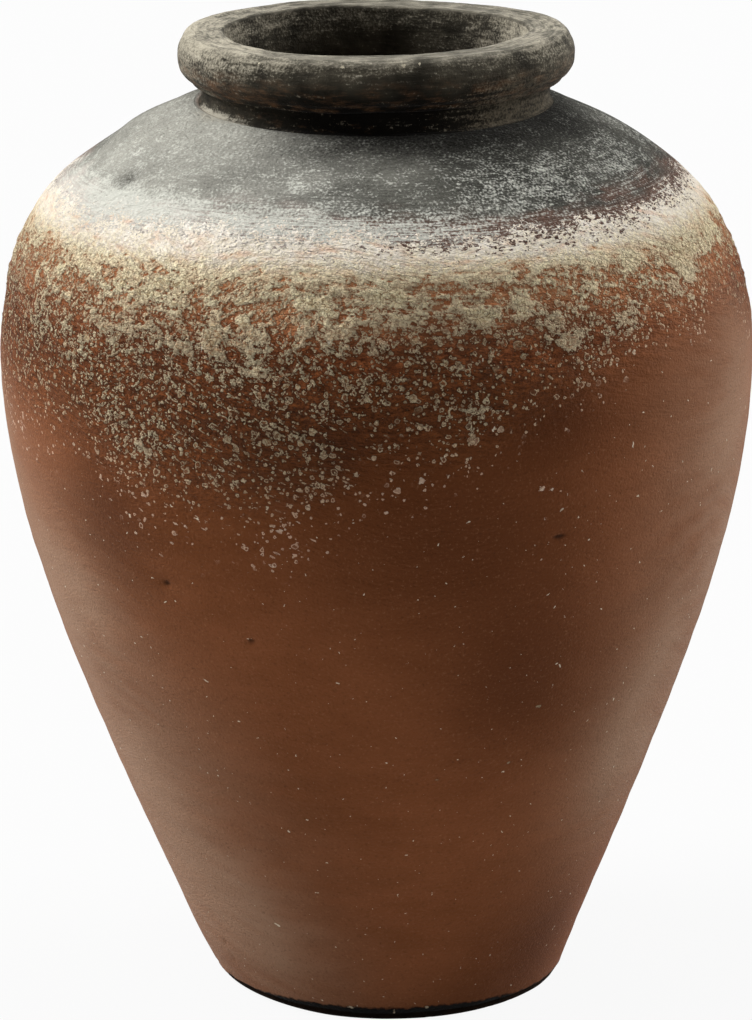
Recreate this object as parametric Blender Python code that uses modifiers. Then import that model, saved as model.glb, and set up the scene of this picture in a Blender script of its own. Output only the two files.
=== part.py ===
"""A large rustic terracotta jar, built as the sections that a potter throws and joins.

Metres, +Z up. The origin is the centre of the foot, on the ground. Every section is a turned
ring, and its profile is a list of (radius, height) points. The wall is one outer curve and one
inner curve, cut into sections by bevelled seams that rise inwards.
"""

import math

import bpy

# Heights, stacked from the ground
FOOT_LEDGE = 0.0040
LOWER_WALL_HEIGHT = 0.2310
BELLY_WALL_HEIGHT = 0.1370
SHOULDER_HEIGHT = 0.0895
NECK_HEIGHT = 0.0115
RIM_HEIGHT = 0.0270

# Radii
FOOT_RADIUS = 0.0932
BELLY_RADIUS = 0.1925
NECK_RADIUS = 0.0880

# Shape of the wall
WALL = 0.0120
NECK_WALL = 0.0114
BELLY_RISE = 0.0945  # widest ring above the lower seam
FOOT_FLARE = math.radians(21.6)  # lean of the wall at the foot, from upright
NECK_SLOPE = math.radians(16.0)  # fall of the shoulder at the neck, from level
FOOT_FULLNESS = 0.390  # lengths of the curves' handles, as shares of each curve's own height or width
UNDER_BELLY_FULLNESS = 0.276
OVER_BELLY_FULLNESS = 0.575
NECK_FULLNESS = 0.650

# Floor slab and its coil
FLOOR_THICKNESS = 0.0140
BASE_INSET = 0.0020
BASE_CHAMFER = 0.0010
FLOOR_COIL = 0.0120

# Seams
SEAM_RISE = 0.0080
SEAM_GAP = 0.0004  # upright, which leaves about 0.3 mm square to a bevel
COIL_GAP = 0.0003
SEAM_COIL_BELOW = 0.0150
SEAM_COIL_ABOVE = 0.0260
SEAM_COIL_THICKNESS = 0.0045
FEATHER = 0.0008  # least thickness of a smeared edge

# Neck and rolled rim
NECK_FILLET = 0.0028
ROLL_OVERHANG = 0.0121
ROLL_BELLY_DROP = 0.0112  # widest ring of the roll below the crest
CREST_INSET = 0.0090  # outer edge of the flat crest inside the roll's widest ring
CREST_WIDTH = 0.0060
MOUTH_ROUNDING = 0.0040  # drop of the rounded inner lip

# Facets
AROUND = 64
LOWER_RINGS = 13
UPPER_RINGS = 9
COIL_RINGS = 4
FILLET_RINGS = 3
ROLL_RINGS = 4
MERGE = 0.00005
SHARP_ANGLE = math.radians(30)

COLLECTION = "rustic_jar"

# Heights that follow
LOWER_SEAM = FOOT_LEDGE + LOWER_WALL_HEIGHT
UPPER_SEAM = LOWER_SEAM + BELLY_WALL_HEIGHT
NECK_SEAT = UPPER_SEAM + SHOULDER_HEIGHT
RIM_SEAT = NECK_SEAT + NECK_HEIGHT
OVERALL_HEIGHT = RIM_SEAT + RIM_HEIGHT
BELLY_HEIGHT = LOWER_SEAM + BELLY_RISE
NECK_FOOT_RADIUS = NECK_RADIUS + NECK_FILLET
MOUTH_RADIUS = NECK_RADIUS - NECK_WALL

# Colours as linear red, green and blue, with roughness
CLAYS = {
    "blackened_clay": ((0.020, 0.016, 0.013), 0.90),
    "raw_clay": ((0.200, 0.095, 0.055), 0.95),
    "terracotta": ((0.165, 0.075, 0.042), 0.85),
    "cream_slip": ((0.500, 0.390, 0.270), 0.88),
    "smoked_shoulder": ((0.110, 0.085, 0.068), 0.82),
    "smoked_rim": ((0.075, 0.058, 0.048), 0.80),
}


def clear_scene():
    for thing in list(bpy.data.objects):
        bpy.data.objects.remove(thing, do_unlink=True)
    for collection in list(bpy.data.collections):
        bpy.data.collections.remove(collection)


def open_collection():
    """The collection that holds the jar, with the empty that its sections hang from."""
    collection = bpy.data.collections.new(COLLECTION)
    bpy.context.scene.collection.children.link(collection)
    jar = bpy.data.objects.new("jar", None)
    collection.objects.link(jar)
    return jar


def clay(name):
    """The material of one clay or coat."""
    colour, roughness = CLAYS[name]
    material = bpy.data.materials.get(name) or bpy.data.materials.new(name)
    material.use_nodes = True
    shader = material.node_tree.nodes["Principled BSDF"]
    shader.inputs["Base Color"].default_value = (*colour, 1.0)
    shader.inputs["Roughness"].default_value = roughness
    shader.inputs["Metallic"].default_value = 0.0
    material.diffuse_color = (*colour, 1.0)
    return material


def bezier(start, leave, arrive, end, t):
    """Point and tangent of a cubic curve at t, from 0 to 1."""
    s = 1.0 - t
    point = [
        s**3 * a + 3 * s * s * t * b + 3 * s * t * t * c + t**3 * d
        for a, b, c, d in zip(start, leave, arrive, end)
    ]
    tangent = [
        s * s * (b - a) + 2 * s * t * (c - b) + t * t * (d - c)
        for a, b, c, d in zip(start, leave, arrive, end)
    ]
    return point, tangent


def wall_curves():
    """The four control points of the wall below its widest ring, and of the wall above it."""
    foot = (FOOT_RADIUS, FOOT_LEDGE)
    belly = (BELLY_RADIUS, BELLY_HEIGHT)
    neck = (NECK_FOOT_RADIUS, NECK_SEAT)
    rise = BELLY_HEIGHT - FOOT_LEDGE
    fall = NECK_SEAT - BELLY_HEIGHT
    width = BELLY_RADIUS - NECK_FOOT_RADIUS
    leave_foot = (
        foot[0] + FOOT_FULLNESS * rise * math.sin(FOOT_FLARE),
        foot[1] + FOOT_FULLNESS * rise * math.cos(FOOT_FLARE),
    )
    under_belly = (belly[0], belly[1] - UNDER_BELLY_FULLNESS * rise)
    over_belly = (belly[0], belly[1] + OVER_BELLY_FULLNESS * fall)
    reach_neck = (
        neck[0] + NECK_FULLNESS * width * math.cos(NECK_SLOPE),
        neck[1] - NECK_FULLNESS * width * math.sin(NECK_SLOPE),
    )
    return (foot, leave_foot, under_belly, belly), (belly, over_belly, reach_neck, neck)


def wall_lines():
    """The wall's outer and inner lines, foot to neck. The inner one lies a wall inside the outer."""
    lower, upper = wall_curves()
    places = [(lower, i / LOWER_RINGS) for i in range(LOWER_RINGS)]
    places += [(upper, i / UPPER_RINGS) for i in range(UPPER_RINGS + 1)]
    outer, inner = [], []
    for curve, t in places:
        (radius, height), (across, up) = bezier(*curve, t)
        length = math.hypot(across, up)
        outer.append((radius, height))
        inner.append((radius - WALL * up / length, height + WALL * across / length))
    return outer, inner


def radius_at(line, height):
    """The radius of a rising line at a height."""
    for (r0, z0), (r1, z1) in zip(line, line[1:]):
        if z0 <= height <= z1:
            return r0 + (r1 - r0) * (height - z0) / (z1 - z0)
    return line[-1][0]


def between(line, low, high):
    """The stretch of a rising line from one height to another, with its ends cut on the line."""
    inside = [point for point in line if low < point[1] < high]
    return [(radius_at(line, low), low), *inside, (radius_at(line, high), high)]


def arc(centre, across, up, start, end, steps):
    """Points of an elliptic arc, from one angle to another in degrees."""
    points = []
    for i in range(steps + 1):
        angle = math.radians(start + (end - start) * i / steps)
        points.append((centre[0] + across * math.cos(angle), centre[1] + up * math.sin(angle)))
    return points


def turned(name, profile, seat, material, closed=True):
    """A turned solid. Its profile runs down the outer side and back up the inner one."""
    corners = [(radius, 0.0, height - seat) for radius, height in profile]
    edges = [(i, i + 1) for i in range(len(corners) - 1)]
    if closed:
        edges.append((len(corners) - 1, 0))
    mesh = bpy.data.meshes.new(name)
    mesh.from_pydata(corners, edges, [])
    piece = bpy.data.objects.new(name, mesh)
    bpy.data.collections[COLLECTION].objects.link(piece)
    screw = piece.modifiers.new("Turn", "SCREW")
    screw.axis = "Z"
    screw.angle = math.tau
    screw.steps = AROUND
    screw.render_steps = AROUND
    screw.use_merge_vertices = True
    screw.merge_threshold = MERGE
    graph = bpy.context.evaluated_depsgraph_get()
    piece.data = bpy.data.meshes.new_from_object(piece.evaluated_get(graph))
    piece.modifiers.clear()
    bpy.data.meshes.remove(mesh)
    piece.data.name = name
    piece.data.shade_smooth()
    piece.data.set_sharp_from_angle(angle=SHARP_ANGLE)
    piece.data.materials.clear()
    piece.data.materials.append(clay(material))
    piece.location.z = seat
    return piece


def base_disc(inner):
    """The floor slab: a ledge that shows under the wall, and a bevel that the wall sits on."""
    rim = FOOT_RADIUS - BASE_INSET
    profile = [
        (0.0, FLOOR_THICKNESS),
        (radius_at(inner, FLOOR_THICKNESS), FLOOR_THICKNESS),
        (rim, FOOT_LEDGE),
        (rim, BASE_CHAMFER),
        (rim - BASE_CHAMFER, 0.0),
        (0.0, 0.0),
    ]
    return turned("base_disc", profile, 0.0, "blackened_clay", closed=False)


def floor_fillet_coil(inner):
    """The coil in the corner of floor and wall, smoothed to a hollow curve."""
    floor = FLOOR_THICKNESS + COIL_GAP
    top = floor + FLOOR_COIL
    back = [(radius - COIL_GAP, height) for radius, height in between(inner, floor, top)]
    corner = back[0][0] - FLOOR_COIL
    face = arc(
        (corner, top),
        back[-1][0] - FEATHER - corner,
        top - floor - FEATHER,
        -90,
        0,
        FILLET_RINGS,
    )
    profile = back[::-1] + [(corner, floor)] + face
    return turned("floor_fillet_coil", profile, FLOOR_THICKNESS, "raw_clay")


def wall_section(name, outer, inner, material):
    """A ring of wall between an outer and an inner stretch. Its two ends are the bevels."""
    return turned(name, outer[::-1] + inner, outer[0][1], material)


def lower_wall(outer, inner):
    """The first section. Its foot overhangs the slab's rim and sits on the slab's bevel."""
    sole = (FOOT_RADIUS - BASE_INSET, FOOT_LEDGE + SEAM_GAP)
    outside = between(outer, FOOT_LEDGE + SEAM_GAP, LOWER_SEAM)
    inside = between(inner, FLOOR_THICKNESS + SEAM_GAP, LOWER_SEAM + SEAM_RISE)
    return wall_section("lower_wall", outside, [sole] + inside, "terracotta")


def belly_wall(outer, inner):
    """The second section, with the widest ring."""
    outside = between(outer, LOWER_SEAM + SEAM_GAP, UPPER_SEAM)
    inside = between(inner, LOWER_SEAM + SEAM_RISE + SEAM_GAP, UPPER_SEAM + SEAM_RISE)
    return wall_section("belly_wall", outside, inside, "cream_slip")


def shoulder(outer, inner):
    """The third section. It closes in to a flat seat round the neck opening."""
    outside = between(outer, UPPER_SEAM + SEAM_GAP, NECK_SEAT)
    inside = between(inner, UPPER_SEAM + SEAM_RISE + SEAM_GAP, inner[-1][1])
    end_radius, end_height = inside[-1]
    lip = end_height + (end_radius - MOUTH_RADIUS) * math.tan(NECK_SLOPE)
    opening = [(MOUTH_RADIUS, lip), (MOUTH_RADIUS, NECK_SEAT)]
    return wall_section("shoulder", outside, inside + opening, "smoked_shoulder")


def seam_coil(name, seam, inner):
    """A coil smeared over a seam on the inside: thickest in the middle, thin at both edges."""
    low = seam + SEAM_RISE - SEAM_COIL_BELOW
    high = seam + SEAM_RISE + SEAM_COIL_ABOVE
    back = [(radius - COIL_GAP, height) for radius, height in between(inner, low, high)]
    face = []
    for i in range(COIL_RINGS + 1):
        share = i / COIL_RINGS
        height = low + (high - low) * share
        thickness = FEATHER + (SEAM_COIL_THICKNESS - FEATHER) * math.sin(math.pi * share)
        face.append((radius_at(inner, height) - COIL_GAP - thickness, height))
    return turned(name, back[::-1] + face, seam, "raw_clay")


def neck_collar():
    """The short neck, with a fillet that runs out on the shoulder."""
    foot = NECK_SEAT + SEAM_GAP
    fillet = arc(
        (NECK_FOOT_RADIUS, foot + FEATHER + NECK_FILLET),
        NECK_FILLET,
        NECK_FILLET,
        180,
        270,
        FILLET_RINGS,
    )
    profile = [(NECK_RADIUS, RIM_SEAT)] + fillet
    profile += [(NECK_FOOT_RADIUS, foot), (MOUTH_RADIUS, foot), (MOUTH_RADIUS, RIM_SEAT)]
    return turned("neck_collar", profile, NECK_SEAT, "smoked_rim")


def rim_roll():
    """The rolled lip: a flat crest, a full outer side that overhangs the neck, a rounded mouth."""
    sole = RIM_SEAT + SEAM_GAP
    widest = OVERALL_HEIGHT - ROLL_BELLY_DROP
    crest_outside = NECK_RADIUS + ROLL_OVERHANG - CREST_INSET
    crest_inside = crest_outside - CREST_WIDTH
    profile = arc((crest_outside, widest), CREST_INSET, ROLL_BELLY_DROP, 90, 0, ROLL_RINGS)
    profile += arc((NECK_RADIUS, widest), ROLL_OVERHANG, widest - sole, 0, -90, ROLL_RINGS)[1:]
    profile.append((MOUTH_RADIUS, sole))
    profile += arc(
        (crest_inside, OVERALL_HEIGHT - MOUTH_ROUNDING),
        crest_inside - MOUTH_RADIUS,
        MOUTH_ROUNDING,
        180,
        90,
        FILLET_RINGS,
    )
    return turned("rim_roll", profile, RIM_SEAT, "smoked_rim")


def main():
    clear_scene()
    jar = open_collection()
    outer, inner = wall_lines()
    sections = [
        base_disc(inner),
        floor_fillet_coil(inner),
        lower_wall(outer, inner),
        belly_wall(outer, inner),
        shoulder(outer, inner),
        seam_coil("seam_coil_belly", LOWER_SEAM, inner),
        seam_coil("seam_coil_shoulder", UPPER_SEAM, inner),
        neck_collar(),
        rim_roll(),
    ]
    for section in sections:
        section.parent = jar


main()
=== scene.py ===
"""Looks of the large rustic terracotta jar, built round its packed sections.

Metres, +Z up, with the jar's front towards -Y. Each section is made again as a dense turned mesh on
the section's own profile. Relief goes in along the profile's normals, and the same fields that
raise the relief are kept as attributes, so that each coat's colour lies on its own relief. An
azimuth is in degrees from the front, and rises towards the viewer's right. A noise call's last two
numbers are its lump size and its seed.
"""

import itertools
import math

import bpy
import numpy as np
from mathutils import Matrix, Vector


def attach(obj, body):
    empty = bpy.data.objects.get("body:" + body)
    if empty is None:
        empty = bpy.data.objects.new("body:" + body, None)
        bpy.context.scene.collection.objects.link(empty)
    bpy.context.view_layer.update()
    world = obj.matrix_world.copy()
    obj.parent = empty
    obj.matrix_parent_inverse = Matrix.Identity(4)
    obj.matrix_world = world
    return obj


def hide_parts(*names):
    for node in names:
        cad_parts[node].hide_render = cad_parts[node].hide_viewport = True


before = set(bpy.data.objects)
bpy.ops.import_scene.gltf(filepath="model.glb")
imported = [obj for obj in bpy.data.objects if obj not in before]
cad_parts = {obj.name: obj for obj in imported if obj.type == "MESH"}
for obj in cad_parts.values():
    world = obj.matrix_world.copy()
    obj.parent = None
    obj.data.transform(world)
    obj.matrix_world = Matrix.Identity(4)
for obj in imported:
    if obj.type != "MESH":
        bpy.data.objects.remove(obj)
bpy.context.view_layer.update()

MM = 0.001

# Camera, fitted to the photograph's outline
CAMERA_PLACE = (-0.0063, -2.1063, 0.8336)
CAMERA_PITCH = math.radians(15.573)
LENS = 148.58
SENSOR = 36.0

# The turned sections: the gap at their seams, the sharpest turn that is still smooth, how finely the wall's
# whole line is drawn, and how near to the cut a point lies on it
SEAM = 0.4 * MM
WALLS = ("lower_wall", "belly_wall", "shoulder")
CORNER = math.radians(38)
LINE_SPACING = 0.5 * MM
NO_WIDTH = 1e-5

# Radii that part one side of a section from another: of the neck, the base and the rolled rim
NECK_INSIDE = 0.088
BASE_EDGE = 0.09
MOUTH_SIDE = 0.0776
CREST_SIDE = 0.078
SOOT_AND_SHADE_SIDE = 0.08
ROLL_SIDE = 0.0905

# Heights of the coats on the wall
DARK_EDGE = 0.422
BAND_FOOT = 0.411

# Spans of height over which a form or a coat of the wall comes in
FOOT_SPAN = (0.003, 0.012)
RUST_SPAN = (0.348, 0.4)
WASH_SPAN = (0.37, 0.404)
# The painted shadow of the rim on the shoulder, just under the neck
RIM_SHADOW_SPAN = (0.448, 0.459)
FILLET_SPAN = (0.4565, 0.4612)
NECK_FILLET = 1.1

# The same for the neck and the rim
DUST_AND_LIGHT_SPAN = (0.466, 0.476)
ROLL_FOOT_SPAN = (0.469, 0.474)
COLLAR_SPAN = (0.4725, 0.475)
SOOT_AND_SHADE_SPAN = (0.476, 0.4945)
BROWN_SPAN = (0.477, 0.493)
CREST_SPAN = (0.496, 0.4992)

# Azimuth and height of the ragged line where the dark coat stops, and of the crust's lowest flakes
DARK_LINE = ((-78, 0.422), (-56, 0.420), (-31, 0.4235), (0, 0.422), (30, 0.4195), (60, 0.422), (150, 0.424))
CRUST_LINE = (
    (-95, 0.345), (-70, 0.336), (-54, 0.334), (-40, 0.315), (-27, 0.305), (-17, 0.306), (-8, 0.312),
    (0, 0.331), (14, 0.332), (27, 0.352), (42, 0.371), (65, 0.380), (95, 0.345), (130, 0.312),
    (180, 0.352),
)

# Places on the wall are an azimuth, then a height, a half width and a half height in millimetres

# Thick patches of crust, and gaps in it
CRUST_PATCHES = (
    (-60, 372, 8, 9), (-52.5, 371.5, 5, 9), (-48, 365, 8, 8), (-42, 339, 8, 8), (-41.5, 377, 9, 5),
    (-37, 397, 10, 4), (-36, 324, 10, 8), (-30, 374.6, 12, 4), (-24, 378, 6, 6), (-20, 363.4, 8, 5),
    (-18, 381, 7, 6), (-16, 352, 7, 4), (-14.8, 338, 8, 5), (-11.5, 398, 8, 4), (-11, 369, 9, 6),
    (-8.5, 309, 9, 7), (-7, 392, 7, 8), (-4, 378, 6, 5), (-0.5, 358, 8, 5), (1, 398, 10, 4),
    (12.5, 349, 8, 5), (15.5, 388, 7, 6), (15, 344, 5, 6), (23.5, 388.5, 8, 5), (28.5, 381.5, 11, 7),
    (30, 371.5, 8, 5), (42, 369, 9, 5), (41.5, 379.5, 10, 6), (57, 371, 6, 7), (66, 402, 34, 7),
    (54, 391, 30, 12), (-13.8, 290, 5, 4), (-24, 312, 6, 5), (-11, 334, 6, 4), (27, 303, 6, 4),
    (30.5, 373, 8, 6), (34.5, 395, 9, 6), (38.5, 376, 9, 6), (46, 406, 9, 7), (58, 392, 7, 10),
    (100, 372, 16, 9), (128, 340, 14, 10), (160, 385, 16, 8), (-160, 366, 14, 9), (-125, 378, 16, 8),
)
CRUST_GAPS = (
    (-68, 392, 9, 12), (-65, 406, 10, 8), (-49, 387.5, 5, 6), (-48, 408.5, 10, 3), (-36.8, 406.5, 9, 3),
    (-28, 384.5, 5, 3), (-27, 395.5, 4, 8), (-22.2, 394, 4, 9), (-20.8, 412, 4, 4),
    (-14, 394.7, 3.5, 8), (-1, 370, 9, 4), (9, 375.2, 10, 4), (11, 401.4, 7, 3), (19, 395.5, 7, 3),
    (23.5, 409.5, 9, 4), (29, 392.4, 8, 3), (40, 412.5, 7, 4), (66.8, 402.5, 6, 4), (100, 395, 14, 5),
    (150, 392, 14, 8), (-140, 400, 16, 6),
)

# The dry white brush on the shoulder: the azimuth where it is thickest, and mottled patches
VEIL_AZIMUTH = -62
VEIL_PATCHES = (
    (-60, 430, 90, 9), (-5, 432, 70, 6), (-24, 430, 34, 5), (-52, 431, 28, 6), (-50, 427, 36, 6),
    (-15, 446, 12, 4), (-2, 427, 70, 4), (0, 425, 60, 5), (26, 441, 24, 9), (44, 444, 28, 11),
    (66, 440, 26, 13), (95, 444, 30, 12), (140, 440, 40, 9), (-150, 436, 50, 8),
)

# Broad dark patches on the body: stains, and painted shade on the front, where little light falls
STAINS_AND_SHADE = (
    (10, 285, 85, 55), (24, 200, 50, 50), (-44, 285, 32, 36), (48, 35, 38, 40), (26, 340, 42, 24),
    (-6, 335, 40, 20), (170, 250, 70, 60), (-120, 180, 40, 60),
)

# Paler places on the sides of the body: dust, and painted sheen where the light grazes them
DUST_AND_SHEEN_SIDES = (
    (-60, 120, 75, 90), (-46, 40, 50, 50), (-62, 230, 44, 50), (68, 270, 62, 120), (60, 145, 44, 56),
    (-86, 300, 50, 70), (-170, 80, 90, 60),
)

# Height of the black band round the foot, soot and painted contact shadow, and how much higher it is at the
# front
SOOT_AND_SHADOW_HEIGHT = 4.2 * MM
SOOT_AND_SHADOW_RISE = 3.5 * MM

# Where the slip ran down in tongues
TONGUES = (-17, 379, 44, 15)

# Broad flat and full places of the shoulder, with their swell
SWELLS = ((-92, 438.5, 45, 9.5, -5.2), (92, 450, 45, 6.0, 1.0))

# Dents, pits and gouges, with their depth
HOLLOWS = (
    (-57, 439, 6.5, 3.4, 1.7), (27.5, 278, 4.5, 1.7, 1.3), (-34.5, 253.5, 2.7, 1.8, 1.3),
    (-21, 227, 2.3, 1.8, 1.6), (28, 185, 1.6, 1.4, 0.6), (24, 154.5, 2.0, 1.2, 0.6),
    (10, 150, 1.4, 1.0, 0.6), (118, 262, 3.8, 1.6, 1.1), (-142, 205, 2.0, 1.5, 1.0),
    (171, 301, 1.6, 1.3, 1.1), (86, 148, 2.6, 1.4, 0.8), (-52.8, 33.3, 1.4, 1.1, 0.9),
    (-51.8, 23.7, 1.3, 1.0, 0.9),
)

# Pitch of the finger marks inside
THROWING_PITCH = 13 * MM

# Drops of slip, single and in a run down the belly: azimuth, height and radius
DROPS = (
    (24.0, 304.5, 2.1), (25.6, 303, 1.5), (24.4, 296.5, 1.1), (24.7, 289, 1.1), (24.5, 281.5, 1.0),
    (24.9, 274, 1.0), (24.6, 267.5, 1.0), (28.0, 185, 1.2), (24.0, 154.5, 1.3), (10.0, 150, 1.1),
    (-62.0, 301, 1.4), (148.0, 290, 1.8), (149.0, 282, 1.2), (-118.0, 260, 1.6),
)

# The worn rim: full and hollow places across its roll, as radius, height, swell and reach in mm
ROLL_SHAPE = (
    (77.2, 498.5, 1.2, 1.8), (86, 500, -0.8, 4.0), (94.5, 499, 0.4, 2.4), (98.5, 495, -0.3, 1.8),
    (99, 482, 0.4, 3.0), (95, 476.5, -0.7, 1.6), (92, 474.5, 0.5, 1.4),
)

# Chips on the crest's outer edge
CHIPS = (
    (-9.5, 497.2, 1.0, 0.7), (8.0, 497.5, 1.1, 0.7), (12.5, 497.5, 0.8, 0.6), (-36, 497, 0.8, 0.7),
    (100, 497.5, 2.0, 1.2),
)

# Lean and set of the jar as it was made by hand
LEAN = math.radians(1.0)
LEAN_EASE = 0.030
SHOULDER_DRIFT = -1.5 * MM
RIM_DRIFT = 2.3 * MM
RIM_SAG = 2.2 * MM
SAG_WAY = (0.766, 0.643)
NECK_TILT = 1.6 * MM
TILT_ARM = 0.1
FRONT_SINK = 2.3 * MM
FOOT_WEAR = 1.8 * MM
SHOULDER_SPAN = (0.350, 0.400)
NECK_SPAN = (0.448, 0.466)
RIM_SPAN = (0.455, 0.474)
TILT_SPAN = (0.405, 0.450)
TILT_END = (0.460, 0.475)
SINK_SPAN = (0.400, 0.455)

# Studio: the sky's light, the floor's paint, and the share of plain white in the floor as it is seen
SKY_LEVEL = 0.18
FLOOR_COLOUR = (0.45, 0.45, 0.45, 1.0)
FLOOR_WHITE = 0.92
FLOOR_RADIUS = 14.0
FLOOR_SIDES = 96
WHITE = (1.0, 1.0, 1.0, 1.0)

# Lamps: name, azimuth and height in degrees, level and spread
LAMPS = (
    ("key_left_behind", -100, 40, 1.20, 32),
    ("edge_right_behind", 110, 30, 0.72, 40),
    ("top_behind", 180, 68, 0.30, 60),
)
LAMP_DISTANCE = 3.0

# Dabs of slip on the crust: the cell size and density of each layer, then the cells of the largest dabs,
# of those that the sponge drew out, and of the plates that the crust cracks into
DAB_LAYERS = ((0.0038, 0.55), (0.0027, 0.80), (0.0018, 0.75))
LARGE_DAB = 0.0054
DRAWN_DAB = 0.0024
PLATE = 0.0042

# Gloss of the coats
WALL_SHEEN = 0.03
WALL_SPECULAR = 0.04
RIM_SHEEN = 0.04
RIM_SPECULAR = 0.02

# Noise
SEED = 8176
SEED_SHIFT = 17.37
LATTICE = 256

random = np.random.default_rng(SEED)
SHUFFLE = random.permutation(LATTICE)
DIRECTIONS = random.normal(size=(LATTICE, 3))
DIRECTIONS /= np.linalg.norm(DIRECTIONS, axis=1)[:, None]
SPOTS = random.random((LATTICE, 3))
CHANCES = random.random((LATTICE, 3))


# Fields in space


def lattice(cell):
    """A number below 256 for each whole-numbered cell."""
    x, y, z = (cell[:, i] % LATTICE for i in range(3))
    return SHUFFLE[(SHUFFLE[(SHUFFLE[x] + y) % LATTICE] + z) % LATTICE]


def in_cells(points, size, seed):
    """The points counted in cells of a size, and the cell that each lies in."""
    scaled = points / size + SEED_SHIFT * seed
    return scaled, np.floor(scaled).astype(np.int64)


def noise(points, size, seed):
    """Smooth noise from about -1 to 1, with lumps of a size."""
    scaled, base = in_cells(points, size, seed)
    part = scaled - base
    fade = part**3 * (part * (part * 6 - 15) + 10)
    total = np.zeros(len(points))
    for corner in itertools.product((0, 1), repeat=3):
        slope = DIRECTIONS[lattice(base + corner)]
        weight = np.prod(np.where(corner, fade, 1 - fade), axis=1)
        total += weight * ((part - corner) * slope).sum(axis=1)
    return 1.7 * total


def spots(points, size, seed):
    """Distance to the nearest of the scattered spots, and three chances that belong to that spot."""
    scaled, base = in_cells(points, size, seed)
    nearest = np.full(len(points), 9.0)
    chosen = np.zeros(len(points), np.int64)
    for step in itertools.product((-1, 0, 1), repeat=3):
        cell = base + step
        key = lattice(cell)
        distance = np.linalg.norm(cell + SPOTS[key] - scaled, axis=1)
        closer = distance < nearest
        nearest[closer] = distance[closer]
        chosen[closer] = key[closer]
    return nearest * size, CHANCES[chosen]


def smooth(value, low, high):
    """0 below low, 1 above high, and an eased slope between them."""
    share = np.clip((value - low) / (high - low), 0, 1)
    return share * share * (3 - 2 * share)


def line_at(azimuth, knots):
    """A height that changes round the jar, through named azimuths."""
    places, heights = zip(*knots)
    return np.interp(azimuth, places, heights, period=360)


def facing(site, azimuth, low, high):
    """1 on the side that faces an azimuth, 0 beyond it. low and high are cosines of the angle between."""
    return smooth(np.cos(np.radians(site.azimuth - azimuth)), low, high)


def near(site, azimuth, height, half_width, half_height):
    """A soft spot on the wall, 1 at its middle. Its height and half sizes are in millimetres."""
    across = (site.azimuth - azimuth + 180) % 360 - 180
    across = np.radians(across) * site.radius / (half_width * MM)
    up = (site.height / MM - height) / half_height
    return np.exp(-(across**2 + up**2))


def patches(site, places):
    """Several such spots together."""
    return sum(near(site, *place) for place in places)


class Site:
    """Where a section's points lie: in space, unrolled round the jar, and along the drag of the sponge."""

    GIRTH = 0.15
    DRAG_TWIST = 7.0
    DRAG_PRESS = 3.2
    DRAG_SWAY = 0.016
    DRAG_REACH = 0.075

    def __init__(self, points, along):
        self.points = points
        self.radius = np.hypot(points[:, 0], points[:, 1])
        self.height = points[:, 2]
        self.azimuth = np.degrees(np.arctan2(points[:, 0], -points[:, 1]))
        turn = np.radians(self.azimuth)
        self.unrolled = np.stack([self.GIRTH * np.sin(turn), -self.GIRTH * np.cos(turn), along], axis=1)
        turn += self.DRAG_TWIST * self.height
        sway = self.height + self.DRAG_SWAY * noise(points, self.DRAG_REACH, 71)
        level = self.radius * np.sin(turn), -self.radius * np.cos(turn)
        self.drag = np.stack([*level, sway * self.DRAG_PRESS], axis=1)

    def flattened(self, press):
        """The points with heights stretched, for noise in level streaks."""
        return self.points * (1, 1, press)

    def streaked(self, reach, press):
        """The unrolled points, stretched for noise in streaks round the jar."""
        return self.unrolled * (1 / reach, 1 / reach, press)


# Profiles of the sections


def section_profile(name):
    """The (radius, height) points of a turned CAD section, with its outer side rising first."""
    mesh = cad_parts[name].data
    corners = {}
    for vertex in mesh.vertices:
        x, y, z = vertex.co
        if abs(y) < NO_WIDTH and x > -NO_WIDTH:
            corners[vertex.index] = (round(x, 5), round(z, 5))
    links = {}
    for edge in mesh.edges:
        a, b = (corners.get(i) for i in edge.vertices)
        if a and b and a != b:
            links.setdefault(a, set()).add(b)
            links.setdefault(b, set()).add(a)
    ends = [point for point, others in links.items() if len(others) == 1]
    start = min(ends or links, key=lambda point: point[1])
    path = [start]
    while True:
        onward = [point for point in links[path[-1]] if point not in path]
        if not onward:
            break
        path.append(max(onward) if len(path) == 1 else onward[0])
    path = np.array(path)
    if ends:
        return np.vstack([[0, path[0, 1]], path, [0, path[-1, 1]]])
    turned_area = np.sum(path[:, 0] * np.roll(path[:, 1], -1) - np.roll(path[:, 0], -1) * path[:, 1])
    return path if turned_area > 0 else path[::-1]


def spline(points):
    """A natural cubic spline through points, as a function of the length along their chords."""
    points = np.asarray(points, float)
    steps = np.linalg.norm(np.diff(points, axis=0), axis=1)
    along = np.concatenate([[0], np.cumsum(steps)])
    count = len(points)
    system = np.eye(count)
    pull = np.zeros((count, 2))
    for i in range(1, count - 1):
        system[i, i - 1 : i + 2] = steps[i - 1], 2 * (steps[i - 1] + steps[i]), steps[i]
        rise = (points[i + 1] - points[i]) / steps[i] - (points[i] - points[i - 1]) / steps[i - 1]
        pull[i] = 6 * rise
    bend = np.linalg.solve(system, pull)

    def at(length):
        i = np.clip(np.searchsorted(along, length, side="right") - 1, 0, count - 2)
        width = steps[i][:, None]
        before = (along[i + 1] - length)[:, None]
        after = (length - along[i])[:, None]
        cubic = bend[i] * before**3 / (6 * width) + bend[i + 1] * after**3 / (6 * width)
        linear = (points[i] / width - bend[i] * width / 6) * before
        linear += (points[i + 1] / width - bend[i + 1] * width / 6) * after
        return cubic + linear

    return at, along[-1]


def resampled(points, spacing):
    """Points at about an even spacing on the spline through the given ones."""
    at, length = spline(points)
    count = max(2, int(round(length / spacing)) + 1)
    return at(np.linspace(0, length, count))


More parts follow.
